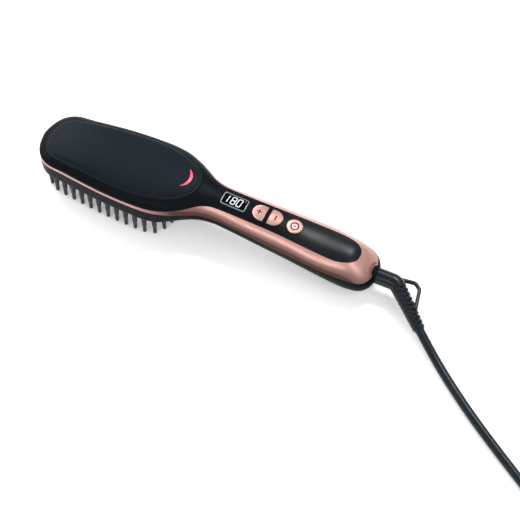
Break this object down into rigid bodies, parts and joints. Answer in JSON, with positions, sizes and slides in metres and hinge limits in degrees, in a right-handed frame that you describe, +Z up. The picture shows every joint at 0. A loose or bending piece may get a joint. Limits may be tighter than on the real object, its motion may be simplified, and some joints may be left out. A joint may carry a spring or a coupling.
{
  "type": "heated hair straightening brush",
  "caption": "Paddle brush with heated bristles, display and press buttons in the handle, a swivel strain relief with hanging loop, and a coiled mains lead.",
  "frame": {"origin": "middle of the length and width of the brush without its lead, on the surface it lies on", "axes": "+X from the tip of the head to the lead, +Z up, out of the face with the buttons; the brush lies on its bristles"},
  "size_m": [0.582, 0.185, 0.0476],
  "materials": {
    "black_shell": "satin",
    "glossy_panel": "gloss",
    "rose_metallic": "satin metallic coating",
    "display_glass": "gloss",
    "red_lens": "translucent",
    "bristle_plastic": "matt, heat resistant",
    "coated_metal": "ceramic coated",
    "heater_ceramic": "fired, matt",
    "insulating_film": "film",
    "steel": "zinc plated",
    "nylon": "natural",
    "board": "lacquered",
    "component": "matt",
    "led": "clear",
    "brass": "turned",
    "cable_rubber": "matt",
    "plug_plastic": "satin",
    "pin_metal": "nickel plated"
  },
  "bodies": {
    "housing": {"lower_housing": "black_shell", "trim_band": "rose_metallic", "upper_housing": "black_shell", "top_panel": "glossy_panel", "indicator_lens": "red_lens", "display_window": "display_glass", "guard_ring": "black_shell", "guard_bristles": "bristle_plastic", "heating_plate": "coated_metal", "heated_pins": "coated_metal", "bristle_caps": "bristle_plastic", "ptc_heaters": "heater_ceramic", "insulating_films": "insulating_film", "heater_clamp": "steel", "heater_screws": "steel", "thermal_fuse": "nylon", "thermistor": "component", "heat_shield": "nylon", "control_board": "board", "tact_switches": "component", "display_module": "component", "triac": "component", "filter_capacitor": "component", "board_screws": "steel", "indicator_board": "board", "indicator_led": "led", "swivel_bush": "nylon", "contact_carrier": "nylon", "contact_blades": "brass", "housing_screws": "steel"},
    "plus_key": {"plus_button": "rose_metallic", "plus_plunger": "component"},
    "minus_key": {"minus_button": "rose_metallic", "minus_plunger": "component"},
    "power_key": {"power_button": "rose_metallic", "power_plunger": "component"},
    "swivel": {"swivel_core": "black_shell", "slip_rings": "brass", "strain_relief": "cable_rubber", "hanging_loop": "cable_rubber", "power_cord": "cable_rubber", "cord_coil": "cable_rubber", "cord_tail": "cable_rubber", "plug_body": "plug_plastic", "plug_pins": "pin_metal"}
  },
  "joints": [
    {"name": "plus_key_press", "type": "slide", "parent": "housing", "child": "plus_key", "axis": [0, 0, -1], "range_m": [0, 0.0005], "stiffness_N_per_m": 1600, "springref_m": -0.0003},
    {"name": "minus_key_press", "type": "slide", "parent": "housing", "child": "minus_key", "axis": [0, 0, -1], "range_m": [0, 0.0005], "stiffness_N_per_m": 1600, "springref_m": -0.0003},
    {"name": "power_key_press", "type": "slide", "parent": "housing", "child": "power_key", "axis": [0, 0, -1], "range_m": [0, 0.0005], "stiffness_N_per_m": 1600, "springref_m": -0.0003},
    {"name": "lead_swivel", "type": "hinge", "parent": "housing", "child": "swivel", "pos_m": [0.134, 0, 0.0165], "axis": [1, 0, 0], "continuous": true}
  ]
}
